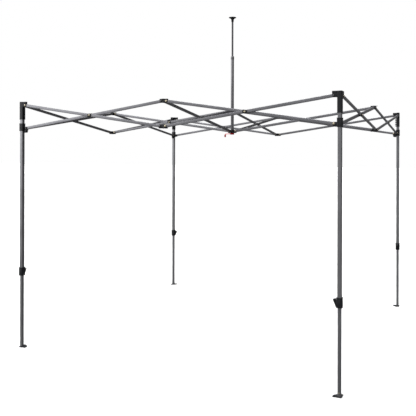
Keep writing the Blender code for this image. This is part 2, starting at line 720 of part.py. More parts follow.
def build_corners():
    """Each corner's leg, bracket, slider, button, lever and inner leg."""
    pieces = (
        ("bracket", corner_bracket(), (CORNER_PIN, 0, UPPER), "black_hub_plastic"),
        ("outer_leg", outer_leg(), (CORNER_PIN, 0, UPPER), "grey_leg_steel"),
        ("inner_leg", inner_leg(), (0, 0, 0), "grey_leg_steel"),
        ("leg_lock_lever", lock_lever(), (0, LEVER_PIN_PLACE, LEVER_PIN_HEIGHT),
         "black_lever_plastic"),
        ("slider", slider(), (CORNER_PIN, 0, LOWER), "black_hub_plastic"),
        ("slider_button", slider_button(), (LOBE_OUT, BAR_OFFSET, LOWER - BUTTON_DROP),
         "black_button_plastic"),
    )
    for index, corner in enumerate(CORNERS):
        azimuth = index * math.pi / 2
        turn = Matrix.Rotation(azimuth, 3, "Z")
        axis = turn @ Vector((-HALF, -HALF, 0.0))
        for name, mesh, pivot, material in pieces:
            place(f"{corner}_{name}", mesh, axis + turn @ Vector(pivot), (0, 0, azimuth), material)


def build_peak():
    """The telescopic pole that holds up the middle of the cover."""
    place("peak_tube", peak_tube(), (0, 0, UPPER), (0, 0, 0), "grey_pole_steel")
    place("peak_rod", peak_rod(), (0, 0, POLE_JOINT), (0, 0, 0), "grey_pole_steel")


for leftover in list(bpy.data.objects):
    bpy.data.objects.remove(leftover)
build_truss()
build_corners()
build_peak()
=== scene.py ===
"""Looks of a ten foot pop up canopy frame: coated steel bars, moulded hubs, bolts.

Metres, +Z up, the origin on the floor under the frame's middle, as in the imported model.
Each kind of piece is modelled once in its own frame, where a bar lies along X, an arm
points along X and a leg's axis is Z. Copies of its mesh then take their places.
"""
import json
import math

import bmesh
import bpy
from mathutils import Matrix, Vector


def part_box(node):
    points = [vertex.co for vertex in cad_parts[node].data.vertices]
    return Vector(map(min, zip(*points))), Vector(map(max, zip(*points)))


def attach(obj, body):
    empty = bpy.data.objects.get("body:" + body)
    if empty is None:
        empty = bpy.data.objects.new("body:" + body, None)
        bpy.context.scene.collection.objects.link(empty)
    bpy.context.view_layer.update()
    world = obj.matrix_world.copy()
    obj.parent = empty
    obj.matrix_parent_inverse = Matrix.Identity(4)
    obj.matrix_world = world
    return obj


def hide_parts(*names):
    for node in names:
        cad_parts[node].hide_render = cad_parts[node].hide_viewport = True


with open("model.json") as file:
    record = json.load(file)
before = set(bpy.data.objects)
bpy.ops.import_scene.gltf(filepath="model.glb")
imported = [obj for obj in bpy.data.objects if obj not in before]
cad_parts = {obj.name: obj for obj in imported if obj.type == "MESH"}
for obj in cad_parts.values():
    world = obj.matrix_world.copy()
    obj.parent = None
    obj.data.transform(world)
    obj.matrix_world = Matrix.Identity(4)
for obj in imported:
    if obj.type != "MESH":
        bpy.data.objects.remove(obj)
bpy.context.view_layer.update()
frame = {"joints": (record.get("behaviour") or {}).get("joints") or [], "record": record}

record = frame["record"]
JOINTS = {joint["name"]: joint for joint in frame["joints"]}
MOUNTS = {mount["name"]: mount for mount in record["mounts"]}
BODY_OF = {node: body for body, nodes in record["behaviour"]["bodies"].items() for node in nodes}
SIDES = ("front", "right", "back", "left")
CORNERS = ("front_left", "front_right", "back_right", "back_left")


def pivot(joint):
    """Place of a joint's axis in the row frame."""
    return Vector(JOINTS[joint]["pos_m"])


# Places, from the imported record
HALF = -MOUNTS["front_left_foot"]["pos_m"][0]
LEG_TOP = MOUNTS["front_left_bracket_top"]["pos_m"][2]
PEAK_TOP = MOUNTS["peak_cap_top"]["pos_m"][2]
UPPER = pivot("frame_fold").z
LOWER = pivot("front_hub_lower_turn").z
CROSSING = (UPPER + LOWER) / 2
CENTRE_PIN = -pivot("frame_fold").y
MID_INNER_PIN = pivot("front_hub_lower_turn").y + HALF
MID_PIN = -pivot("front_bar_outer_to_front_left_turn").x
CORNER_PIN = pivot("front_left_leg_turn").x + HALF
LEVER_PIN = pivot("front_left_leg_lock_lever_press").y + HALF
LEVER_HEIGHT = pivot("front_left_leg_lock_lever_press").z
SPAN = HALF - CORNER_PIN - MID_PIN
BAR_LENGTH = math.hypot(SPAN, UPPER - LOWER)
BAR_TILT = math.atan2(UPPER - LOWER, SPAN)
PEAK_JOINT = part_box("peak_tube")[1].z
PEAK_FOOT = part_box("peak_tube")[0].z
ROD_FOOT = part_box("peak_rod")[0].z
INNER_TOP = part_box("front_left_inner_leg")[1].z
LOCK_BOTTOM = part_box("front_left_outer_leg")[0].z
BRACKET_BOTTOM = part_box("front_left_bracket")[0].z
BUTTON_LOW, BUTTON_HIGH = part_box("front_left_slider_button")
BUTTON_HEIGHT = (BUTTON_LOW.z + BUTTON_HIGH.z) / 2
BUTTON_FACE = BUTTON_HIGH.x + HALF
BUTTON_BACK = BUTTON_LOW.x + HALF

# Sections, as in the CAD
BAR_DEPTH, BAR_WIDTH, BAR_WALL = 0.0250, 0.0125, 0.0009
BAR_CORNER = 0.0026
BAR_END = 0.009
BAR_OFFSET = (BAR_WIDTH + 0.003) / 2
BAR_SWING = math.hypot(BAR_DEPTH / 2, BAR_END) + 0.0006
EAR_INNER = BAR_WIDTH / 2 + 0.0005
EAR_OUTER = EAR_INNER + 0.0035
EAR_END, EAR_LIP, EAR_REACH = 0.008, 0.003, 0.013
FLANGE_TOP = BAR_SWING + 0.003
HUB_REACH = BAR_OFFSET + EAR_OUTER
MID_CORE = 0.010
RING_BORE, RING_RADIUS, RING_HEIGHT = 0.0165, 0.0215, 0.034
PEAK_TUBE_RADIUS, PEAK_ROD_RADIUS, TUBE_WALL = 0.016, 0.0093, 0.0012
CAP_RADIUS, CAP_HEIGHT = 0.039, 0.050
COLLAR_RADIUS, COLLAR_HEIGHT = 0.0172, 0.030
OUTER_HALF, INNER_HALF = 0.015, 0.0125
LOCK_HALF, LOCK_HEIGHT = 0.021, 0.074
SLEEVE_BORE, SLEEVE_HALF = 0.0153, 0.0183
RIB_PROUD, RIB_WIDTH, RIB_PITCH, RIB_WINDOW, RIB_WINDOWS = 0.0115, 0.011, 0.026, 0.017, 4
SLIDER_BORE, SLIDER_HALF = 0.0156, 0.020
SLIDER_ABOVE, SLIDER_BELOW = 0.043, 0.026
LOBE_OUT, LOBE_BOTTOM, LOBE_ROUND, LOBE_WIDTH = 0.049, 0.042, 0.012, 0.024
BUTTON_RADIUS = 0.0068
FOOT_HEEL, FOOT_TOE, FOOT_CUT, FOOT_THICK = 0.020, 0.050, 0.012, 0.006
STAKE_PLACE, STAKE_ASIDE, STAKE_RADIUS = 0.034, 0.003, 0.0045
ADJUST_RADIUS, ADJUST_PITCH, ADJUST_COUNT = 0.0040, 0.050, 5
NIB_DOWN, NIB_WIDTH = 0.020, 0.007
LEVER_WIDTH, LEVER_LUG, LEVER_PIN_RADIUS = 0.022, 0.003, 0.002
HEAD_RADIUS = 0.0066
STRAP_WIDTH, STRAP_THICK, STRAP_RUN, STRAP_TAIL = 0.016, 0.0016, 0.072, 0.032
STRAP_WAY = math.radians(203)
THREADS_ACROSS, THREAD_PITCH = 14.0, 0.0013
SKIN = 0.0003                 # between pieces that rest on each other


# Shader maths


class Value:
    """Output of a node, on which sums and products add Math nodes."""

    def __init__(self, shader, socket):
        self.shader = shader
        self.socket = socket

    def _maths(self, operation, first, second):
        return self.shader.node("ShaderNodeMath", {"operation": operation}, {0: first, 1: second})

    def __add__(self, other):
        return self._maths("ADD", self, other)

    def __sub__(self, other):
        return self._maths("SUBTRACT", self, other)

    def __rsub__(self, other):
        return self._maths("SUBTRACT", other, self)

    def __mul__(self, other):
        return self._maths("MULTIPLY", self, other)

    __radd__ = __add__
    __rmul__ = __mul__


class Shader:
    """Node tree of a material or the world."""

    def __init__(self, owner):
        owner.use_nodes = True
        self.tree = owner.node_tree
        self.tree.nodes.clear()

    def node(self, kind, settings=None, inputs=None, output=0):
        """New node: its settings, then the values or links of its inputs."""
        made = self.tree.nodes.new(kind)
        for name, value in (settings or {}).items():
            if name == "stops":
                elements = made.color_ramp.elements
                while len(elements) < len(value):
                    elements.new(0.5)
                for element, (position, colour) in zip(elements, value):
                    element.position = position
                    element.color = (*colour, 1.0)
            else:
                setattr(made, name, value)
        for name, value in (inputs or {}).items():
            if isinstance(value, Value):
                self.tree.links.new(value.socket, made.inputs[name])
            else:
                made.inputs[name].default_value = value
        return Value(self, made.outputs[output])

    def coordinates(self, kind="Object"):
        """Place of a shaded point, in one kind of coordinates."""
        return self.node("ShaderNodeTexCoord", output=kind)

    def noise(self, place, scale, detail=2.0, roughness=0.5):
        """Noise about 0.5 at a scale."""
        values = {"Vector": place, "Scale": scale, "Detail": detail, "Roughness": roughness}
        return self.node("ShaderNodeTexNoise", None, values)

    def span(self, value, low, high, first=0.0, last=1.0):
        """Value carried smoothly from the range low to high onto first to last."""
        inputs = {0: value, 1: low, 2: high, 3: first, 4: last}
        return self.node("ShaderNodeMapRange", {"interpolation_type": "SMOOTHSTEP"}, inputs)

    def mixed(self, share, first, second):
        """Colour between the first and the second."""
        colours = {6: colour(first), 7: colour(second)}
        return self.node("ShaderNodeMix", {"data_type": "RGBA"}, {0: share, **colours}, 2)

    def bump(self, height, strength, distance, under=None):
        """Normal raised by a height, over another normal if one is given."""
        inputs = {"Height": height, "Strength": strength, "Distance": distance}
        if under is not None:
            inputs["Normal"] = under
        return self.node("ShaderNodeBump", None, inputs)

    def surface(self, **inputs):
        """Principled surface as the material's output."""
        named = {name.replace("_", " ").title(): colour(value) if name == "base_color" else value
                 for name, value in inputs.items()}
        skin = self.node("ShaderNodeBsdfPrincipled", None, named, "BSDF")
        self.end(skin)

    def end(self, result, kind="ShaderNodeOutputMaterial"):
        """Make the result the tree's output."""
        made = self.tree.nodes.new(kind)
        self.tree.links.new(result.socket, made.inputs["Surface"])


def colour(value):
    """Colour with its alpha, or a link as it is."""
    return value if isinstance(value, Value) else (*value, 1.0)


def tinted(base, share):
    """Colour made lighter or darker."""
    return tuple(channel * share for channel in base)


# Materials


def coated_steel(name, base, metal, rough):
    """Satin powder coat: slow drifts of tone, a fine orange peel and faint rubbing."""
    material = bpy.data.materials.new(name)
    shader = Shader(material)
    place = shader.coordinates()
    drift = shader.noise(place, 7.0, 3.0)
    fleck = shader.noise(place, 900.0, 2.0)
    peel = shader.noise(place, 520.0, 1.0)
    rub = shader.span(shader.noise(place, 38.0, 5.0, 0.62), 0.60, 0.78)
    tone = shader.mixed(shader.span(drift, 0.3, 0.7), tinted(base, 0.90), tinted(base, 1.07))
    tone = shader.mixed(shader.span(fleck, 0.56, 0.70) * 0.35, tone, tinted(base, 1.45))
    tone = shader.mixed(rub * 0.22, tone, tinted(base, 1.30))
    shader.surface(
        base_color=tone,
        metallic=metal,
        roughness=rough + (drift - 0.5) * 0.10 + fleck * 0.06 - rub * 0.06,
        normal=shader.bump(peel, 0.22, 0.00025),
    )
    return material


def moulded_nylon(name, base, rough):
    """Black glass-filled nylon: a fine spark-eroded grain, and paler where it is rubbed."""
    material = bpy.data.materials.new(name)
    shader = Shader(material)
    place = shader.coordinates()
    grain = shader.noise(place, 1500.0, 2.0)
    cloud = shader.noise(place, 45.0, 3.0)
    scuff = shader.span(shader.noise(place, 160.0, 4.0, 0.7), 0.62, 0.74)
    tone = shader.mixed(shader.span(cloud, 0.32, 0.68), tinted(base, 0.80), tinted(base, 1.30))
    tone = shader.mixed(scuff * 0.25, tone, tinted(base, 2.6))
    shader.surface(
        base_color=tone,
        roughness=rough + (cloud - 0.5) * 0.16 + scuff * 0.08,
        normal=shader.bump(grain, 0.30, 0.0002),
    )
    return material


def plated_zinc(name):
    """Yellow-passivated zinc, with its clouded gold and turning marks."""
    material = bpy.data.materials.new(name)
    shader = Shader(material)
    place = shader.coordinates()
    cloud = shader.noise(place, 240.0, 3.0)
    fine = shader.noise(place, 2600.0, 2.0)
    dull = shader.node("ShaderNodeAttribute", {"attribute_name": "dull"}, output="Fac")
    tone = shader.mixed(shader.span(cloud, 0.35, 0.65), (0.70, 0.59, 0.38), (0.78, 0.73, 0.60))
    grey = shader.mixed(cloud, (0.16, 0.16, 0.165), (0.26, 0.26, 0.27))
    shader.surface(
        base_color=shader.mixed(dull, tone, grey),
        metallic=1.0,
        roughness=0.26 + (cloud - 0.5) * 0.2 + fine * 0.08 + dull * 0.18,
        normal=shader.bump(fine, 0.2, 0.0001),
    )
    return material


def red_webbing(name):
    """Plain-woven polyester tape: its map's U runs across it and V along it, in threads."""
    material = bpy.data.materials.new(name)
    shader = Shader(material)
    threads = shader.node("ShaderNodeSeparateXYZ", None, {0: shader.coordinates("UV")})
    tree = threads.socket.node
    across, along = (Value(shader, tree.outputs[index]) for index in (0, 1))

    def rows(value):
        """Rounded rows of thread, one for each step of the map."""
        wave = shader.node("ShaderNodeMath", {"operation": "SINE"}, {0: value * math.pi})
        return shader.node("ShaderNodeMath", {"operation": "ABSOLUTE"}, {0: wave})

    warp, weft = rows(across), rows(along)
    over = shader.node("ShaderNodeMath", {"operation": "MAXIMUM"}, {0: warp * 0.8, 1: weft})
    worn = shader.noise(shader.coordinates(), 110.0, 4.0)
    thread = shader.mixed(shader.span(over, 0.35, 1.0), (0.80, 0.008, 0.016), (1.0, 0.026, 0.042))
    shader.surface(
        base_color=shader.mixed(shader.span(worn, 0.4, 0.75) * 0.4, thread, (1.0, 0.080, 0.085)),
        roughness=0.70 + (worn - 0.5) * 0.2,
        sheen_weight=0.25,
        normal=shader.bump(over, 0.6, 0.0003),
    )
    return material


HUB_BLACK = moulded_nylon("hub_nylon", (0.0105, 0.0115, 0.0150), 0.46)
LEVER_BLACK = moulded_nylon("lever_nylon", (0.0090, 0.0095, 0.0120), 0.38)
BUTTON_BLACK = moulded_nylon("button_nylon", (0.022, 0.022, 0.027), 0.30)
BAR_GREY = coated_steel("coated_bar_steel", (0.285, 0.285, 0.305), 0.80, 0.38)
LEG_GREY = coated_steel("coated_leg_steel", (0.320, 0.322, 0.340), 0.80, 0.38)
TUBE_GREY = coated_steel("coated_tube_steel", (0.400, 0.400, 0.420), 0.80, 0.36)
ROD_GREY = coated_steel("coated_rod_steel", (0.170, 0.170, 0.182), 0.80, 0.38)

# Finish: its material, the record's slot, and the word that names such a piece
FINISHES = {
    "bar": (BAR_GREY, "grey_bar_steel", "tube"),
    "leg": (LEG_GREY, "grey_leg_steel", "tube"),
    "pole": (TUBE_GREY, "grey_pole_steel", "tube"),
    "rod": (ROD_GREY, "grey_pole_steel", "tube"),
    "hub": (HUB_BLACK, "black_hub_plastic", "moulding"),
    "lever": (LEVER_BLACK, "black_lever_plastic", "moulding"),
    "button": (BUTTON_BLACK, "black_button_plastic", "moulding"),
    "zinc": (plated_zinc("yellow_zinc"), "zinc_bolts", "bolts"),
    "webbing": (red_webbing("red_tape"), "red_webbing", "strap"),
}


# Shapes


def sharp(part, limit=40.0):
    """Edges that turn by more than the limit, in degrees."""
    turn = math.radians(limit)
    return [edge for edge in part.edges if edge.is_manifold and edge.calc_face_angle() > turn]


def ease(part, edges, width, segments):
    """Round the edges to a width."""
    if edges and width:
        bmesh.ops.bevel(
            part, geom=edges, offset=width, offset_type="OFFSET", segments=segments,
            profile=0.5, affect="EDGES", material=-1, clamp_overlap=True,
        )


def along_axis(part, axis):
    """Edges that lie along one axis."""
    found = []
    for edge in part.edges:
        way = edge.verts[1].co - edge.verts[0].co
        if abs(way[axis]) > 0.999 * way.length:
            found.append(edge)
    return found


def block(x, y, z, axis=2, corner=0.0, edge=0.0007):
    """Block between pairs of limits, rounded along one axis, its rims then eased."""
    part = bmesh.new()
    limits = [sorted(pair) for pair in (x, y, z)]
    size = [high - low for low, high in limits]
    centre = Vector([(high + low) / 2 for low, high in limits])
    place = Matrix.Translation(centre) @ Matrix.Diagonal((*size, 1.0))
    bmesh.ops.create_cube(part, size=1.0, matrix=place)
    ease(part, along_axis(part, axis) if corner else [], corner, 4)
    ease(part, sharp(part), edge, 2)
    return part


def plate(outline, y, corner=0.0, edge=0.0006):
    """Outline of (x, z) points as thick as the pair y, its corners rounded and rims eased."""
    part = bmesh.new()
    face = part.faces.new([part.verts.new((x, y[0], z)) for x, z in outline])
    grown = bmesh.ops.extrude_face_region(part, geom=[face])
    moved = [item for item in grown["geom"] if isinstance(item, bmesh.types.BMVert)]
    bmesh.ops.translate(part, verts=moved, vec=(0.0, y[1] - y[0], 0.0))
    bmesh.ops.recalc_face_normals(part, faces=part.faces)
    ease(part, along_axis(part, 1) if corner else [], corner, 4)
    ease(part, sharp(part), edge, 2)
    return part


def spun(profile, steps=32, closed=False):
    """Profile of (radius, height) points spun about Z."""
    part = bmesh.new()
    ring = [part.verts.new((radius, 0.0, height)) for radius, height in profile]
    pairs = list(zip(ring, ring[1:] + (ring[:1] if closed else [])))
    edges = [part.edges.new(pair) for pair in pairs if closed or pair[0] is not ring[-1]]
    bmesh.ops.spin(
        part, geom=ring + edges, cent=(0, 0, 0), axis=(0, 0, 1),
        angle=math.tau, steps=steps, use_merge=True,
    )
    bmesh.ops.remove_doubles(part, verts=part.verts, dist=0.000001)
    bmesh.ops.recalc_face_normals(part, faces=part.faces)
    return part


def rounded_tube(z, halves, wall, corner):
    """Rectangular tube along Z with rounded corners, open at both ends."""
    part = bmesh.new()
    for inset in (0.0, wall):
        x, y = halves[0] - inset, halves[1] - inset
        ring = [part.verts.new(place) for place in (
            (x, y, z[0]), (-x, y, z[0]), (-x, -y, z[0]), (x, -y, z[0]))]
        part.faces.new(ring)
        bmesh.ops.bevel(
            part, geom=ring, offset=max(corner - inset, 0.0006), offset_type="OFFSET",
            segments=4, profile=0.5, affect="VERTICES", material=-1,
        )
    bmesh.ops.delete(part, geom=part.faces[:], context="FACES_ONLY")
    bmesh.ops.bridge_loops(part, edges=part.edges[:])
    grown = bmesh.ops.extrude_face_region(part, geom=part.faces[:])
    moved = [item for item in grown["geom"] if isinstance(item, bmesh.types.BMVert)]
    bmesh.ops.translate(part, verts=moved, vec=(0.0, 0.0, z[1] - z[0]))
    bmesh.ops.recalc_face_normals(part, faces=part.faces)
    return part


def as_object(part):
    """Linked object of a bmesh, which is freed."""
    mesh = bpy.data.meshes.new("tool")
    part.to_mesh(mesh)
    part.free()
    made = bpy.data.objects.new("tool", mesh)
    bpy.context.scene.collection.objects.link(made)
    return made


def less(part, *cutters):
    """Shape with holes cut by other shapes."""
    base = as_object(part)
    tools = [as_object(cutter) for cutter in cutters]
    for tool in tools:
        change = base.modifiers.new("hole", "BOOLEAN")
        change.operation, change.solver, change.object = "DIFFERENCE", "EXACT", tool
    bpy.context.view_layer.update()
    cut = base.evaluated_get(bpy.context.evaluated_depsgraph_get())
    mesh = bpy.data.meshes.new_from_object(cut)
    result = bmesh.new()
    result.from_mesh(mesh)
    for used in (base, *tools):
        data = used.data
        bpy.data.objects.remove(used)
        bpy.data.meshes.remove(data)
    bpy.data.meshes.remove(mesh)
    return result


def turn(azimuth):
    """Turn about Z."""
    return Matrix.Rotation(azimuth, 4, "Z")


def lay_y(place, facing=1):
    """Placement that turns +Z to +Y, or to -Y, at a point."""
    return Matrix.Translation(place) @ Matrix.Rotation(-facing * math.pi / 2, 4, "X")


def lay_x(place):
    """Placement that turns +Z to +X at a point."""
    return Matrix.Translation(place) @ Matrix.Rotation(math.pi / 2, 4, "Y")


class Kit:
    """Shapes of one kind of piece, gathered by finish."""

    def __init__(self):
        self.shapes = {}

    def add(self, finish, part, place=None, dull=0.0):
        """Put a shape in its place, with its finish and, on zinc, how dull its plating is."""
        if place is not None:
            bmesh.ops.transform(part, matrix=place, verts=part.verts)
        if finish == "zinc":
            layer = part.verts.layers.float.new("dull")
            for vert in part.verts:
                vert[layer] = dull
        mesh = bpy.data.meshes.new("shape")
        part.to_mesh(mesh)
        part.free()
        self.shapes.setdefault(finish, bmesh.new()).from_mesh(mesh)
        bpy.data.meshes.remove(mesh)

    def meshes(self):
        """One shaded mesh for each finish; the first finish is the piece's own."""
        made = {}
        for finish, shape in self.shapes.items():
            mesh = bpy.data.meshes.new(finish)
            shape.to_mesh(mesh)
            shape.free()
            mesh.shade_smooth()
            mesh.set_sharp_from_angle(angle=math.radians(42))
            mesh.materials.append(FINISHES[finish][0])
            made[finish] = mesh
        return made


def settle(meshes, place, body, node=None, name=None):
    """Copies of a kind's meshes, placed, riding on a body and standing for a CAD node."""
    for index, (finish, mesh) in enumerate(meshes.items()):
        _, slot_name, word = FINISHES[finish]
        placed = mesh.copy()
        placed.transform(place)
        piece = bpy.data.objects.new(f"{name or node}_{word}", placed)
        bpy.context.scene.collection.objects.link(piece)
        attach(piece, body)
        if index == 0 and node:
            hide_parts(node)


# Fixings


def bolt_head(kit, place, radius=HEAD_RADIUS):
    """Button head with a round socket on a washer, standing up from Z = 0."""
    washer = 0.0009
    kit.add("zinc", spun((
        (0, 0), (radius * 1.32, 0), (radius * 1.32, washer * 0.7), (radius * 1.25, washer),
        (0, washer)), 24), place)
    kit.add("zinc", spun((
        (0, washer - 0.0004), (radius, washer - 0.0004), (radius, washer + 0.0008),
        (radius * 0.86, washer + 0.0021), (radius * 0.55, washer + 0.0028),
        (radius * 0.42, washer + 0.0028), (radius * 0.36, washer + 0.0012),
        (0, washer + 0.0011)), 24), place)


def lock_nut(kit, place, radius=0.0062):
    """Hexagon nut with a crowned top and the bolt's end in it, standing up from Z = 0."""
    nut = bmesh.new()
    bmesh.ops.create_cone(
        nut, cap_ends=True, segments=6, radius1=radius, radius2=radius, depth=0.0034,
        matrix=Matrix.Translation((0, 0, 0.0017)),
    )
    ease(nut, sharp(nut), 0.0006, 2)
    kit.add("zinc", nut, place, 1.0)
    kit.add("zinc", spun((
        (0, 0.003), (0.0042, 0.003), (0.0042, 0.0039), (0.0034, 0.0044), (0.0029, 0.0044),
        (0.0029, 0.0040), (0, 0.0040)), 20), place, 1.0)


def boss(kit, place, radius=0.0100, height=0.0009):
    """Raised moulded ring round a pin."""
    kit.add("hub", spun((
        (0, -0.001), (radius, -0.001), (radius, height * 0.5), (radius - 0.0006, height),
        (0, height)), 28), place)


# Truss


def add_fork(kit, root, pin, lateral, azimuth, up, height=0.0, top=FLANGE_TOP, head=-1):
    """Two ears, the flange between them and the wall behind the bar, with its bolt.

    head is the side that shows the bolt's head: -1 for the arm's right, 1 for its left.
    """
    way = turn(azimuth)
    end = pin + EAR_END
    outline = [
        (root, height + up * (BAR_SWING + 0.0004)),
        (end + EAR_LIP - 0.0004, height + up * (BAR_SWING + 0.0004)),
        (end, height),
        (end - EAR_LIP, height - up * EAR_REACH),
        (root, height - up * EAR_REACH),
    ]
    for side in (-1, 1):
        walls = sorted((lateral + side * EAR_INNER, lateral + side * EAR_OUTER))
        kit.add("hub", plate(outline, walls, 0.0028, 0.0007), way)
        face = (pin, lateral + side * EAR_OUTER, height)
        boss(kit, way @ lay_y(face, side))
        sink = (pin, lateral + side * (EAR_OUTER + 0.0007), height)
        if side == head:
            bolt_head(kit, way @ lay_y(sink, side))
        else:
            lock_nut(kit, way @ lay_y(sink, side))
    sides = (lateral - EAR_OUTER, lateral + EAR_OUTER)
    kit.add("hub", block(
        (root, end + EAR_LIP), sides, (height + up * BAR_SWING, height + up * top),
        2, 0.0030, 0.0008), way)
    kit.add("hub", block(
        (root, pin - BAR_SWING), (sides[0] + SKIN, sides[1] - SKIN),
        (height + up * BAR_SWING, height - up * (EAR_REACH - SKIN)), 2, 0.0, 0.0006), way)


def bar_kit(riveted):
    """Flattened tube along X. A riveted one has the crossing's spacer, cover and rivet."""
    kit = Kit()
    low = -BAR_LENGTH / 2 - BAR_END if riveted else -BAR_END
    tube = rounded_tube((0.0, BAR_LENGTH + 2 * BAR_END), (BAR_DEPTH / 2, BAR_WIDTH / 2),
                        BAR_WALL, BAR_CORNER)
    kit.add("bar", tube, lay_x((low, 0, 0)))
    if riveted:
        spacer = (-BAR_WIDTH / 2 - SKIN / 2, -2 * BAR_OFFSET + BAR_WIDTH / 2 + SKIN)
        kit.add("hub", block((-0.0215, 0.0215), spacer, (-0.0146, 0.0146), 1, 0.0060, 0.0004))
        face = -2 * BAR_OFFSET - BAR_WIDTH / 2 - SKIN
        cover = (face, face - 0.0022)
        kit.add("hub", block((-0.0205, 0.0205), cover, (-0.0142, 0.0142), 1, 0.0070, 0.0008))
        kit.add("hub", block((-0.0105, 0.0105), (BAR_WIDTH / 2 + SKIN, BAR_WIDTH / 2 + 0.0018),
                             (-0.0105, 0.0105), 1, 0.0090, 0.0006))
        bolt_head(kit, lay_y((0, face - 0.0021, 0), -1), 0.0058)
        lock_nut(kit, lay_y((0, BAR_WIDTH / 2 + 0.0017, 0), 1))
    return kit.meshes()


def side_hub_kit(up):
    """Hub in the middle of a side: X along the side, Y inwards, Z from the pins."""
    kit = Kit()
    shift = up * BAR_OFFSET
    kit.add("hub", block(
        (-MID_CORE - 0.001, MID_CORE + 0.001), (-HUB_REACH, HUB_REACH),
        (up * FLANGE_TOP, up * (FLANGE_TOP - 0.0032)), 2, 0.0020, 0.0008))
    kit.add("hub", block(
        (-MID_CORE, MID_CORE), (shift - EAR_OUTER + SKIN, HUB_REACH - SKIN),
        (up * (FLANGE_TOP - 0.001), -up * EAR_REACH), 2, 0.0015, 0.0008))
    add_fork(kit, 0.0, MID_PIN, shift, 0.0, up, head=-1)
    add_fork(kit, 0.0, MID_PIN, -shift, math.pi, up, head=-1)
    past_bars = BAR_OFFSET + EAR_INNER if up > 0 else 0.0
    add_fork(kit, past_bars, MID_INNER_PIN, shift, math.pi / 2, up, head=-1)
    kit.add("hub", spun((
        (0, 0), (0.0070, 0), (0.0066, 0.0010), (0.0040, 0.0016), (0, 0.0018)), 24),
        Matrix.Translation((0, 0, up * (FLANGE_TOP - 0.0002))) @ Matrix.Diagonal((1, 1, up, 1)))
    return kit.meshes()


def centre_hub_kit(up):
    """Hub round the peak tube, with four forks and a flange disc that ties them."""
    kit = Kit()
    low, high = sorted((up * FLANGE_TOP, up * (FLANGE_TOP - RING_HEIGHT)))
    kit.add("hub", spun((
        (RING_BORE + 0.0006, low), (RING_RADIUS - 0.0008, low), (RING_RADIUS, low + 0.0008),
        (RING_RADIUS, high - 0.0008), (RING_RADIUS - 0.0008, high), (RING_BORE + 0.0006, high),
        (RING_BORE, high - 0.0006), (RING_BORE, low + 0.0006)), 40, closed=True))
    disc = sorted((up * (FLANGE_TOP - 0.0002), up * (BAR_SWING + 0.0002)))
    kit.add("hub", spun((
        (RING_BORE + 0.0008, disc[0]), (0.0350, disc[0]), (0.0356, disc[0] + 0.0006),
        (0.0356, disc[1] - 0.0006), (0.0350, disc[1]), (RING_BORE + 0.0008, disc[1])),
        40, closed=True))
    for index in range(4):
        add_fork(kit, RING_BORE + 0.002, CENTRE_PIN, up * BAR_OFFSET, index * math.pi / 2, up)
    return kit.meshes()


# Corners


def bracket_kit():
    """Sleeve and cap on the leg's top, two forks, and a ladder of ribs under one of them."""
    kit = Kit()
    wall = SLEEVE_HALF - SLEEVE_BORE
    halves = (SLEEVE_HALF, SLEEVE_HALF)
    kit.add("hub", rounded_tube((BRACKET_BOTTOM, LEG_TOP - 0.003), halves, wall, 0.0042))
    band = 0.0009
    proud = (SLEEVE_HALF + band, SLEEVE_HALF + band)
    for low, high in ((BRACKET_BOTTOM, BRACKET_BOTTOM + 0.006), (UPPER - 0.022, UPPER - 0.0175)):
        kit.add("hub", rounded_tube((low + SKIN, high), proud, wall + band - 0.0004, 0.0048))
    lid = (-SLEEVE_HALF - 0.0004, SLEEVE_HALF + 0.0004)
    kit.add("hub", block(lid, lid, (LEG_TOP - 0.0042, LEG_TOP), 2, 0.0046, 0.0012))
    kit.add("hub", spun(((0, 0), (0.0095, 0), (0.0088, 0.0007), (0, 0.0007)), 28),
            Matrix.Translation((0, 0, LEG_TOP - 0.0004)))
    top = LEG_TOP - UPPER - SKIN
    root = SLEEVE_BORE + 0.002
    add_fork(kit, root, CORNER_PIN, -BAR_OFFSET, 0.0, 1, UPPER, top, head=-1)
    add_fork(kit, root, CORNER_PIN, BAR_OFFSET, math.pi / 2, 1, UPPER, top, head=-1)
    out = SLEEVE_HALF + RIB_PROUD
    rib_top = UPPER - BAR_SWING - 0.003
    lows = [BRACKET_BOTTOM + 0.0037 + index * RIB_PITCH for index in range(RIB_WINDOWS)]
    sides = (-RIB_WIDTH / 2, RIB_WIDTH / 2)
    kit.add("hub", block((out - 0.0026, out), sides, (BRACKET_BOTTOM + 0.0012, rib_top),
                         2, 0.0008, 0.0006))
    floor = BRACKET_BOTTOM + 0.0012
    for low in lows:
        kit.add("hub", block((SLEEVE_HALF - 0.001, out - SKIN), (sides[0] + SKIN, sides[1] - SKIN),
                             (floor, low), 0, 0.0, 0.0006))
        floor = low + RIB_WINDOW
    kit.add("hub", block((SLEEVE_HALF - 0.001, out - SKIN), (sides[0] + SKIN, sides[1] - SKIN),
                         (floor, rib_top), 0, 0.0, 0.0006))
    return kit.meshes()


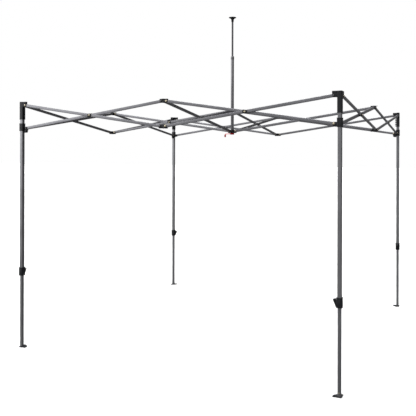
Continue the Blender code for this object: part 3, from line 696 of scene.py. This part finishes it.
def leg_kit():
    """Square outer tube, with the lock housing moulded round its foot."""
    kit = Kit()
    kit.add("leg", rounded_tube((LOCK_BOTTOM + 0.0008, LEG_TOP - 0.0043),
                                (OUTER_HALF, OUTER_HALF), TUBE_WALL, 0.0032))
    wall = LOCK_HALF - OUTER_HALF + SKIN
    halves = (LOCK_HALF, LOCK_HALF)
    kit.add("hub", rounded_tube((LOCK_BOTTOM, LOCK_BOTTOM + LOCK_HEIGHT), halves, wall, 0.0055))
    for low, high, proud in ((0.0, 0.0055, 0.0010), (LOCK_HEIGHT - 0.0065, LOCK_HEIGHT, 0.0012)):
        kit.add("hub", rounded_tube(
            (LOCK_BOTTOM + low + SKIN, LOCK_BOTTOM + high - SKIN),
            (LOCK_HALF + proud, LOCK_HALF + proud), wall + proud - 0.0004, 0.0062))
    for azimuth in (0.0, math.pi, -math.pi / 2):
        kit.add("hub", block((LOCK_HALF - 0.001, LOCK_HALF + 0.0008), (-0.0100, 0.0100),
                             (LOCK_BOTTOM + 0.013, LOCK_BOTTOM + 0.058), 0, 0.0035, 0.0004),
                turn(azimuth))
    inner = LEVER_WIDTH / 2 + 0.0005
    root, tip = LOCK_HALF - 0.001, LEVER_PIN + 0.0055
    lug = (
        (root, LEVER_HEIGHT - 0.0085), (tip, LEVER_HEIGHT - 0.0055),
        (tip, LEVER_HEIGHT + 0.0055), (root, LEVER_HEIGHT + 0.0085),
    )
    for side in (-1, 1):
        thick = sorted((side * inner, side * (inner + LEVER_LUG)))
        kit.add("hub", plate(lug, thick, 0.0032, 0.0005), turn(math.pi / 2))
    return kit.meshes()


def inner_leg_kit():
    """Square inner tube on its foot plate, with stake and adjusting holes."""
    kit = Kit()
    halves = (INNER_HALF, INNER_HALF)
    tube = rounded_tube((FOOT_THICK - 0.0004, INNER_TOP), halves, TUBE_WALL, 0.0028)
    holes = []
    deep = 0.004
    for index in range(ADJUST_COUNT):
        height = LEVER_HEIGHT - NIB_DOWN - index * ADJUST_PITCH
        hole = spun(((0, -deep), (ADJUST_RADIUS, -deep), (ADJUST_RADIUS, deep), (0, deep)), 20)
        bmesh.ops.transform(hole, matrix=lay_y((0, INNER_HALF, height)), verts=hole.verts)
        holes.append(hole)
    kit.add("leg", less(tube, *holes))
    outline = (
        (-FOOT_HEEL, -FOOT_HEEL), (FOOT_TOE, -FOOT_HEEL), (FOOT_TOE, FOOT_CUT),
        (FOOT_CUT, FOOT_TOE), (-FOOT_HEEL, FOOT_TOE),
    )
    foot = plate([(x, -y) for x, y in outline], (0.0, FOOT_THICK), 0.0070, 0.0010)
    bmesh.ops.transform(foot, matrix=Matrix.Rotation(math.pi / 2, 4, "X"), verts=foot.verts)
    stakes = []
    for place in ((STAKE_PLACE, -STAKE_ASIDE), (-STAKE_ASIDE, STAKE_PLACE)):
        low, high = -0.002, FOOT_THICK + 0.004
        stake = spun(((0, low), (STAKE_RADIUS, low), (STAKE_RADIUS, high), (0, high)), 24)
        bmesh.ops.translate(stake, verts=stake.verts, vec=(*place, 0))
        stakes.append(stake)
    kit.add("hub", less(foot, *stakes))
    kit.add("hub", block((-0.0150, 0.0150), (-0.0150, 0.0150),
                         (FOOT_THICK - 0.0004, FOOT_THICK + 0.0030), 2, 0.0042, 0.0012))
    kit.add("zinc", spun((
        (0, 0), (0.0052, 0), (0.0051, 0.0008), (0.0040, 0.0019), (0.0017, 0.0024), (0, 0.0025)),
        20), turn(math.pi) @ lay_x((INNER_HALF - SKIN / 2, 0, 0.032)))
    return kit.meshes()


def lever_kit():
    """Thumb lever about its pin: X sideways, Y outwards, with finger ridges and its nib."""
    kit = Kit()
    back, knee, lip = -0.0041, Vector((0.0125, 0.0)), Vector((0.0233, 0.0256))
    outline = (
        (back, -0.0300), (back + 0.0042, -0.0300), (0.0083, -0.0084), tuple(knee), tuple(lip),
        (0.0221, 0.0280), (0.0040, 0.0340), (back, 0.0012),
    )
    way = turn(math.pi / 2)
    kit.add("lever", plate(outline, (-LEVER_WIDTH / 2, LEVER_WIDTH / 2), 0.0012, 0.0008), way)
    rise = lip - knee
    slope = math.atan2(rise.x, rise.y)
    ridges = 6
    for index in range(ridges):
        x, z = knee + rise * (0.22 + index * 0.125)
        ridge = block((-0.0012, 0.0007), (-0.0088, 0.0088), (-0.0011, 0.0011), 1, 0.0006, 0.0002)
        lie = Matrix.Translation((x, 0.0, z)) @ Matrix.Rotation(slope, 4, "Y")
        kit.add("lever", ridge, way @ lie)
    nib = LEVER_PIN - INNER_HALF - 0.0006
    half = NIB_WIDTH / 2
    kit.add("lever", block((-nib, back + 0.0012), (-half, half),
                           (-NIB_DOWN - half, -NIB_DOWN + half), 0, 0.0010, 0.0005), way)
    end = LEVER_WIDTH / 2 + LEVER_LUG + 0.0006
    thin, thick = LEVER_PIN_RADIUS - 0.0001, LEVER_PIN_RADIUS
    kit.add("lever", spun((
        (0, -end), (thin, -end), (thick, -end + 0.0005), (thick, end - 0.0005), (thin, end),
        (0, end)), 16), way @ lay_y((0, 0, 0)))
    return kit.meshes()


def slider_kit():
    """Collar that runs on the leg, with two forks and the button's lobe."""
    kit = Kit()
    low, high = LOWER - SLIDER_BELOW, LOWER + SLIDER_ABOVE
    wall = SLIDER_HALF - SLIDER_BORE
    kit.add("hub", rounded_tube((low, high), (SLIDER_HALF, SLIDER_HALF), wall, 0.0050))
    for start, end in ((0.0, 0.0050), (high - low - 0.0050, high - low)):
        kit.add("hub", rounded_tube(
            (low + start + SKIN, low + end - SKIN), (SLIDER_HALF + 0.0010,) * 2,
            wall + 0.0006, 0.0058))
    for azimuth in (math.pi, -math.pi / 2):
        for aside in (-0.0085, 0.0085):
            kit.add("hub", block((SLIDER_HALF - 0.001, SLIDER_HALF + 0.0009),
                                 (aside - 0.0011, aside + 0.0011), (low + 0.004, high - 0.004),
                                 0, 0.0, 0.0003), turn(azimuth))
    root = SLIDER_BORE + 0.002
    add_fork(kit, root, CORNER_PIN, BAR_OFFSET, 0.0, -1, LOWER, head=1)
    add_fork(kit, root, CORNER_PIN, -BAR_OFFSET, math.pi / 2, -1, LOWER, head=1)
    bottom = LOWER - LOBE_BOTTOM
    outline = [(SLIDER_BORE + 0.002, bottom)]
    for step in range(9):
        angle = -math.pi / 2 + step * math.pi / 16
        outline.append((LOBE_OUT - LOBE_ROUND + LOBE_ROUND * math.cos(angle),
                        bottom + LOBE_ROUND + LOBE_ROUND * math.sin(angle)))
    lobe_top = LOWER - BAR_SWING - 0.001
    outline += [(LOBE_OUT, lobe_top), (SLIDER_BORE + 0.002, lobe_top)]
    lobe = plate(outline, (BAR_OFFSET - LOBE_WIDTH / 2, BAR_OFFSET + LOBE_WIDTH / 2), 0.0, 0.0018)
    bore = BUTTON_RADIUS + 0.0004
    socket = spun(((0, 0.0), (bore, 0.0), (bore, 0.05), (0, 0.05)), 32)
    start = (BUTTON_BACK - 0.0042, BAR_OFFSET, BUTTON_HEIGHT)
    bmesh.ops.transform(socket, matrix=lay_x(start), verts=socket.verts)
    kit.add("hub", less(lobe, socket))
    return kit.meshes()


def button_kit():
    """Push button with a dished face, its axis along X."""
    kit = Kit()
    reach = BUTTON_FACE - BUTTON_BACK
    kit.add("button", spun((
        (0, 0), (BUTTON_RADIUS, 0), (BUTTON_RADIUS, reach - 0.0012),
        (BUTTON_RADIUS - 0.0005, reach - 0.0003), (BUTTON_RADIUS - 0.0014, reach),
        (BUTTON_RADIUS - 0.0024, reach - 0.0003), (BUTTON_RADIUS - 0.0034, reach - 0.0008),
        (0, reach - 0.0011)), 32), lay_x((BUTTON_BACK, BAR_OFFSET, BUTTON_HEIGHT)))
    return kit.meshes()


# Peak pole and strap


def peak_tube_kit():
    """Lower tube with a thin collar at its top and a rolled foot."""
    kit = Kit()
    bore = PEAK_TUBE_RADIUS - TUBE_WALL
    collar = PEAK_JOINT - COLLAR_HEIGHT
    kit.add("pole", spun((
        (bore, PEAK_FOOT), (PEAK_TUBE_RADIUS - 0.0003, PEAK_FOOT),
        (PEAK_TUBE_RADIUS, PEAK_FOOT + 0.0006), (PEAK_TUBE_RADIUS, collar),
        (COLLAR_RADIUS - 0.0004, collar), (COLLAR_RADIUS, collar + 0.0006),
        (COLLAR_RADIUS, PEAK_JOINT - 0.0010), (COLLAR_RADIUS - 0.0010, PEAK_JOINT),
        (bore, PEAK_JOINT)), 48, closed=True))
    return kit.meshes()


def peak_rod_kit():
    """Upper rod, and the moulded mushroom cap that carries the cover."""
    kit = Kit()
    neck = PEAK_TOP - CAP_HEIGHT
    bore = PEAK_ROD_RADIUS - TUBE_WALL
    kit.add("rod", spun((
        (bore, ROD_FOOT), (PEAK_ROD_RADIUS, ROD_FOOT), (PEAK_ROD_RADIUS, neck + 0.004),
        (bore, neck + 0.004)), 36, closed=True))
    rim = CAP_RADIUS
    kit.add("hub", spun((
        (0, PEAK_TOP), (rim * 0.55, PEAK_TOP - 0.0004), (rim * 0.84, PEAK_TOP - 0.0015),
        (rim * 0.95, PEAK_TOP - 0.0030), (rim, PEAK_TOP - 0.0052), (rim, PEAK_TOP - 0.0066),
        (rim * 0.97, PEAK_TOP - 0.0084), (rim * 0.80, PEAK_TOP - 0.0112),
        (rim * 0.60, PEAK_TOP - 0.0150), (rim * 0.44, PEAK_TOP - 0.0200),
        (rim * 0.36, PEAK_TOP - 0.0260), (PEAK_ROD_RADIUS * 1.36, PEAK_TOP - 0.034),
        (PEAK_ROD_RADIUS * 1.30, neck + 0.0012), (PEAK_ROD_RADIUS * 1.22, neck),
        (0, neck)), 56))
    return kit.meshes()


def strap_route():
    """Centre line of the strap from the lower pins' height, and the way its width lies.

    It wraps the tube's foot upright, lies over flat on its way out to the left, then
    folds down and turns its width to the front.
    """
    out = Vector((math.cos(STRAP_WAY), math.sin(STRAP_WAY), 0.0))
    front = Vector((-out.y, out.x, 0.0))
    upright = Vector((0.0, 0.0, -1.0))
    level = -FLANGE_TOP - 0.0012 - STRAP_WIDTH / 2
    route = []
    turns = 24
    for step in range(turns + 1):
        angle = STRAP_WAY + math.pi / 2 - step * math.tau / turns
        radius = PEAK_TUBE_RADIUS + 0.0012 + 0.0024 * step / turns
        route.append((Vector((radius * math.cos(angle), radius * math.sin(angle), level)), upright))
    start = route[-1][0]
    lean = (front * 0.94 + upright * 0.34).normalized()
    steps = 12
    for step in range(1, steps + 1):
        share = step / steps
        side = upright.lerp(lean, min(1.0, share * 2.2)).normalized()
        sag = Vector((0.0, 0.0, 0.0020 - 0.0050 * share))
        route.append((start + out * STRAP_RUN * share + sag, side))
    knee = route[-1][0]
    fall = ((0.0, 0.0010), (0.35, 0.0035), (0.75, 0.0070), (1.0, 0.0110), (1.0, 0.0200),
            (1.0, STRAP_TAIL))
    for turned, drop in fall:
        reach = 0.0022 * min(1.0, drop / 0.005)
        side = lean.lerp(out, turned).normalized()
        route.append((knee + out * reach - Vector((0.0, 0.0, drop)), side))
    return route


def strap_surface():
    """Tape's surface along its route, with its map in threads."""
    route = strap_route()
    part = bmesh.new()
    layer = part.loops.layers.uv.new("UVMap")
    lanes = 5
    rows, length = [], [0.0]
    for (first, _), (second, _) in zip(route, route[1:]):
        length.append(length[-1] + (second - first).length)
    for point, side in route:
        rows.append([part.verts.new(point + side * STRAP_WIDTH * (lane / (lanes - 1) - 0.5))
                     for lane in range(lanes)])
    for index in range(len(rows) - 1):
        for lane in range(lanes - 1):
            face = part.faces.new((rows[index][lane], rows[index + 1][lane],
                                   rows[index + 1][lane + 1], rows[index][lane + 1]))
            corners = ((index, lane), (index + 1, lane), (index + 1, lane + 1), (index, lane + 1))
            for loop, (row, column) in zip(face.loops, corners):
                loop[layer].uv = (column / (lanes - 1) * THREADS_ACROSS, length[row] / THREAD_PITCH)
    return part


def build_strap():
    """Red pull strap under the lower centre hub, thickened from its surface."""
    part = strap_surface()
    mesh = bpy.data.meshes.new("strap")
    part.to_mesh(mesh)
    part.free()
    mesh.transform(Matrix.Translation((0, 0, LOWER)))
    mesh.materials.append(FINISHES["webbing"][0])
    mesh.shade_smooth()
    piece = bpy.data.objects.new("pull_strap", mesh)
    bpy.context.scene.collection.objects.link(piece)
    wall = piece.modifiers.new("thickness", "SOLIDIFY")
    wall.thickness = STRAP_THICK
    wall.offset = 0.0
    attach(piece, "centre_hub_lower")


# Places


def flat(azimuth, along, aside, height):
    """Point at a distance along an azimuth, then to its left, at a height."""
    return turn(azimuth) @ Vector((along, aside, height))


def placed(point, azimuth, tilt=0.0):
    """Placement at a point, tilted about Y and then turned about Z."""
    return Matrix.Translation(point) @ turn(azimuth) @ Matrix.Rotation(tilt, 4, "Y")


def build_truss():
    """Four sides with their cross bars and hubs, and the two centre hubs."""
    plain, riveted = bar_kit(False), bar_kit(True)
    hubs = {1: side_hub_kit(1), -1: side_hub_kit(-1)}
    quarter = math.pi / 2
    middle = MID_PIN + SPAN / 2
    for index, side in enumerate(SIDES):
        along = index * quarter
        inward, outward = along + quarter, along - quarter
        start, end = CORNERS[index], CORNERS[(index + 1) % 4]
        outer, inner = -HALF - BAR_OFFSET, -HALF + BAR_OFFSET
        bars = (
            (f"{side}_bar_outer_to_{start}", plain,
             placed(flat(along, -MID_PIN, outer, LOWER), along + math.pi, -BAR_TILT)),
            (f"{side}_bar_outer_to_{end}", plain,
             placed(flat(along, MID_PIN, outer, LOWER), along, -BAR_TILT)),
            (f"{side}_bar_inner_to_{start}", riveted,
             placed(flat(along, -middle, inner, CROSSING), along, -BAR_TILT)),
            (f"{side}_bar_inner_to_{end}", riveted,
             placed(flat(along, middle, inner, CROSSING), along, BAR_TILT)),
            (f"{side}_cross_bar_upper", plain,
             placed(flat(outward, CENTRE_PIN, BAR_OFFSET, UPPER), outward, BAR_TILT)),
            (f"{side}_cross_bar_lower", riveted,
             placed(flat(outward, CENTRE_PIN + SPAN / 2, -BAR_OFFSET, CROSSING), inward, BAR_TILT)),
        )
        for node, meshes, place in bars:
            settle(meshes, place, BODY_OF[node], node)
        for up, node, height in ((1, f"{side}_hub_upper", UPPER), (-1, f"{side}_hub_lower", LOWER)):
            settle(hubs[up], placed(flat(along, 0.0, -HALF, height), along), BODY_OF[node], node)
    for up, node, height in ((1, "centre_hub_upper", UPPER), (-1, "centre_hub_lower", LOWER)):
        settle(centre_hub_kit(up), Matrix.Translation((0, 0, height)), BODY_OF[node], node)


def build_corners():
    """Legs, brackets, sliders, buttons and levers of the four corners."""
    kits = {
        "bracket": bracket_kit(),
        "outer_leg": leg_kit(),
        "inner_leg": inner_leg_kit(),
        "slider": slider_kit(),
        "slider_button": button_kit(),
    }
    lever = lever_kit()
    for index, corner in enumerate(CORNERS):
        azimuth = index * math.pi / 2
        axis = turn(azimuth) @ Vector((-HALF, -HALF, 0.0))
        for word, meshes in kits.items():
            node = f"{corner}_{word}"
            settle(meshes, placed(axis, azimuth), BODY_OF[node], node)
        node = f"{corner}_leg_lock_lever"
        pin = axis + turn(azimuth) @ Vector((0.0, LEVER_PIN, LEVER_HEIGHT))
        settle(lever, placed(pin, azimuth), BODY_OF[node], node)


def build_peak():
    """Peak pole, and the strap under it."""
    settle(peak_tube_kit(), Matrix(), BODY_OF["peak_tube"], "peak_tube")
    settle(peak_rod_kit(), Matrix(), BODY_OF["peak_rod"], "peak_rod")
    build_strap()


# Studio


KEY_WAY = Vector((-0.72, -0.66, 0.20)).normalized()
BACK_WAY = Vector((-0.15, 0.98, 0.05)).normalized()
KEY_WATTS, SUN_STRENGTH = 90.0, 3.6
WHITE = (1.0, 1.0, 1.0)
EYE = (2.530, -6.042, 1.8135)
EYE_YAW, EYE_ROLL = math.radians(23.217), math.radians(0.13)
LENS, SENSOR = 54.36, 36.0
SHIFT = (-0.0452, -0.1397)


def build_floor():
    """Plain pale floor."""
    part = bmesh.new()
    bmesh.ops.create_grid(part, x_segments=1, y_segments=1, size=60.0)
    mesh = bpy.data.meshes.new("floor")
    part.to_mesh(mesh)
    part.free()
    floor = bpy.data.objects.new("floor", mesh)
    bpy.context.scene.collection.objects.link(floor)
    material = bpy.data.materials.new("pale_floor")
    shader = Shader(material)
    seen = shader.node("ShaderNodeLightPath", output="Is Camera Ray")
    near = shader.node("ShaderNodeBsdfDiffuse", None, {"Color": (0.92, 0.92, 0.92, 1.0)})
    far = shader.node("ShaderNodeBsdfDiffuse", None, {"Color": (0.10, 0.10, 0.10, 1.0)})
    shader.end(shader.node("ShaderNodeMixShader", None, {0: seen, 1: far, 2: near}))
    mesh.materials.append(material)


def build_light():
    """Soft light from the left and front, over a white surround."""
    world = bpy.data.worlds.new("studio")
    bpy.context.scene.world = world
    shader = Shader(world)
    seen = shader.node("ShaderNodeLightPath", output="Is Camera Ray")
    way = shader.coordinates("Generated")
    dot = {"operation": "DOT_PRODUCT"}
    facing = shader.node("ShaderNodeVectorMath", dot, {0: way, 1: KEY_WAY}, "Value")
    behind = shader.node("ShaderNodeVectorMath", dot, {0: way, 1: BACK_WAY}, "Value")
    glow = shader.span(facing, -0.45, 1.0, 0.06, 0.72) + shader.span(behind, 0.80, 0.99, 0.0, 0.35)
    lit, white = (
        shader.node("ShaderNodeBackground", None, {"Color": (*WHITE, 1.0), "Strength": strength})
        for strength in (glow, 1.0)
    )
    shader.end(shader.node("ShaderNodeMixShader", None, {0: seen, 1: lit, 2: white}),
               "ShaderNodeOutputWorld")

    def light(name, kind, place, target, energy, **settings):
        """Lamp at a place that points at a target."""
        data = bpy.data.lights.new(name, kind)
        data.energy = energy
        for key, value in settings.items():
            setattr(data, key, value)
        lamp = bpy.data.objects.new(name, data)
        bpy.context.scene.collection.objects.link(lamp)
        lamp.location = place
        lamp.rotation_euler = (Vector(target) - Vector(place)).to_track_quat("-Z", "Y").to_euler()

    light("key", "AREA", (-6.0, -5.6, 3.4), (-0.6, -0.6, 1.6), KEY_WATTS, shape="RECTANGLE",
          size=3.2, size_y=3.6)
    light("overhead", "SUN", (0.0, 0.0, 8.0), (0.3, 0.2, 0.0), SUN_STRENGTH,
          angle=math.radians(50))


def build_camera():
    """Camera at a standing person's eye height, a little to the right of the front."""
    data = bpy.data.cameras.new("camera")
    data.lens, data.sensor_width = LENS, SENSOR
    data.shift_x, data.shift_y = SHIFT
    data.clip_end = 200.0
    camera = bpy.data.objects.new("camera", data)
    bpy.context.scene.collection.objects.link(camera)
    camera.matrix_world = (
        Matrix.Translation(EYE)
        @ turn(EYE_YAW)
        @ Matrix.Rotation(math.pi / 2, 4, "X")
        @ turn(EYE_ROLL)
    )
    bpy.context.scene.camera = camera


bpy.context.scene.view_settings.view_transform = "Standard"
build_truss()
build_corners()
build_peak()
build_floor()
build_light()
build_camera()
